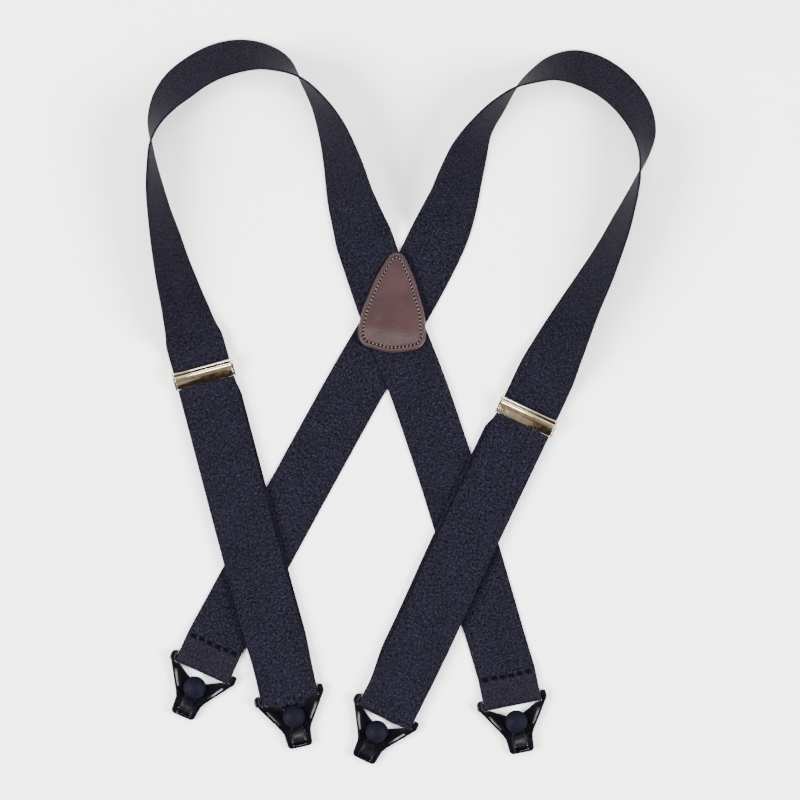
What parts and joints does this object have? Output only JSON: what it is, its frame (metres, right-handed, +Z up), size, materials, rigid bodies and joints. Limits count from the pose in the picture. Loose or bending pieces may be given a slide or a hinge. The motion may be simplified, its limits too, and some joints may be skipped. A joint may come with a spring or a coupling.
{
  "type": "suspenders",
  "caption": "X-back suspenders of elastic webbing with a leather back patch, sliding adjusters and ball clips, laid out flat with open shoulder loops.",
  "frame": {"origin": "centre of the outline of the laid-out suspenders, on the table", "axes": "+Y from the clips towards the shoulder loops, +Z up from the table, +X to the right as seen from above"},
  "size_m": [0.3338, 0.4748, 0.0388],
  "materials": {
    "webbing": "tight elastic weave, near-black with a blue-violet cast",
    "leather": "smooth reddish brown, satin",
    "tan_thread": "waxed thread",
    "black_thread": "polyester thread",
    "plated_steel": "bright warm nickel plate",
    "clip_plastic": "glossy moulded black",
    "ball_plastic": "satin moulded black",
    "pin_steel": "plain steel"
  },
  "bodies": {
    "root": {"strap_left": "webbing", "strap_right": "webbing", "back_patch": "leather", "back_patch_stitching": "tan_thread", "hem_stitching_left": "black_thread", "hem_stitching_right": "black_thread"},
    "front_left": {"strap_left_front": "webbing"},
    "adjuster_left": {"adjuster_left_frame": "plated_steel", "adjuster_left_pin": "plated_steel"},
    "adjuster_left_lever": {"adjuster_left_lever": "plated_steel"},
    "front_right": {"strap_right_front": "webbing"},
    "adjuster_right": {"adjuster_right_frame": "plated_steel", "adjuster_right_pin": "plated_steel"},
    "adjuster_right_lever": {"adjuster_right_lever": "plated_steel"},
    "clip_back_right": {"clip_back_right_frame": "clip_plastic", "clip_back_right_hinge_pin": "pin_steel"},
    "clip_back_right_tongue": {"clip_back_right_tongue": "ball_plastic"},
    "clip_front_left": {"clip_front_left_frame": "clip_plastic", "clip_front_left_hinge_pin": "pin_steel"},
    "clip_front_left_tongue": {"clip_front_left_tongue": "ball_plastic"},
    "clip_back_left": {"clip_back_left_frame": "clip_plastic", "clip_back_left_hinge_pin": "pin_steel"},
    "clip_back_left_tongue": {"clip_back_left_tongue": "ball_plastic"},
    "clip_front_right": {"clip_front_right_frame": "clip_plastic", "clip_front_right_hinge_pin": "pin_steel"},
    "clip_front_right_tongue": {"clip_front_right_tongue": "ball_plastic"}
  },
  "joints": [
    {"name": "front_left_length", "type": "slide", "parent": "root", "child": "front_left", "axis": [-0.2586, 0.966, 0], "range_m": [-0.025, 0.005], "deforming": ["strap_left_front"]},
    {"name": "adjuster_left_slide", "type": "slide", "parent": "front_left", "child": "adjuster_left", "axis": [-0.2586, 0.966, 0], "range_m": [-0.025, 0.005]},
    {"name": "adjuster_left_lever_hinge", "type": "hinge", "parent": "adjuster_left", "child": "adjuster_left_lever", "pos_m": [-0.13046, 0.02197, 0.0082], "axis": [-0.966, -0.2586, 0], "range_deg": [0, 80]},
    {"name": "front_right_length", "type": "slide", "parent": "root", "child": "front_right", "axis": [0.4282, 0.9037, 0], "range_m": [-0.025, 0.005], "deforming": ["strap_right_front"]},
    {"name": "adjuster_right_slide", "type": "slide", "parent": "front_right", "child": "adjuster_right", "axis": [0.4282, 0.9037, 0], "range_m": [-0.025, 0.005]},
    {"name": "adjuster_right_lever_hinge", "type": "hinge", "parent": "adjuster_right", "child": "adjuster_right_lever", "pos_m": [0.08383, -0.00579, 0.0082], "axis": [-0.9037, 0.4282, 0], "range_deg": [0, 80]},
    {"name": "clip_back_right_swing", "type": "hinge", "parent": "root", "child": "clip_back_right", "pos_m": [0.07243, -0.19599, 0.0033], "axis": [-0.9804, -0.1972, 0], "range_deg": [-60, 75]},
    {"name": "clip_back_right_tongue_hinge", "type": "hinge", "parent": "clip_back_right", "child": "clip_back_right_tongue", "pos_m": [0.07846, -0.22599, 0.0029], "axis": [0.9804, 0.1972, 0], "range_deg": [0, 75]},
    {"name": "clip_front_left_swing", "type": "hinge", "parent": "front_left", "child": "clip_front_left", "pos_m": [-0.07347, -0.19259, 0.0033], "axis": [-0.9752, -0.2212, 0], "range_deg": [-60, 75]},
    {"name": "clip_front_left_tongue_hinge", "type": "hinge", "parent": "clip_front_left", "child": "clip_front_left_tongue", "pos_m": [-0.0667, -0.22243, 0.0029], "axis": [0.9752, 0.2212, 0], "range_deg": [0, 75]},
    {"name": "clip_back_left_swing", "type": "hinge", "parent": "root", "child": "clip_back_left", "pos_m": [-0.12957, -0.17459, 0.0033], "axis": [-0.9119, 0.4104, 0], "range_deg": [-60, 75]},
    {"name": "clip_back_left_tongue_hinge", "type": "hinge", "parent": "clip_back_left", "child": "clip_back_left_tongue", "pos_m": [-0.14213, -0.20249, 0.0029], "axis": [0.9119, -0.4104, 0], "range_deg": [0, 75]},
    {"name": "clip_front_right_swing", "type": "hinge", "parent": "front_right", "child": "clip_front_right", "pos_m": [-0.00997, -0.20369, 0.0033], "axis": [-0.8966, 0.4428, 0], "range_deg": [-60, 75]},
    {"name": "clip_front_right_tongue_hinge", "type": "hinge", "parent": "clip_front_right", "child": "clip_front_right_tongue", "pos_m": [-0.02352, -0.23113, 0.0029], "axis": [0.8966, -0.4428, 0], "range_deg": [0, 75]}
  ],
  "couplings": [
    {"joint": "adjuster_left_slide", "follows": "front_left_length", "ratio": 1},
    {"joint": "adjuster_right_slide", "follows": "front_right_length", "ratio": 1}
  ]
}
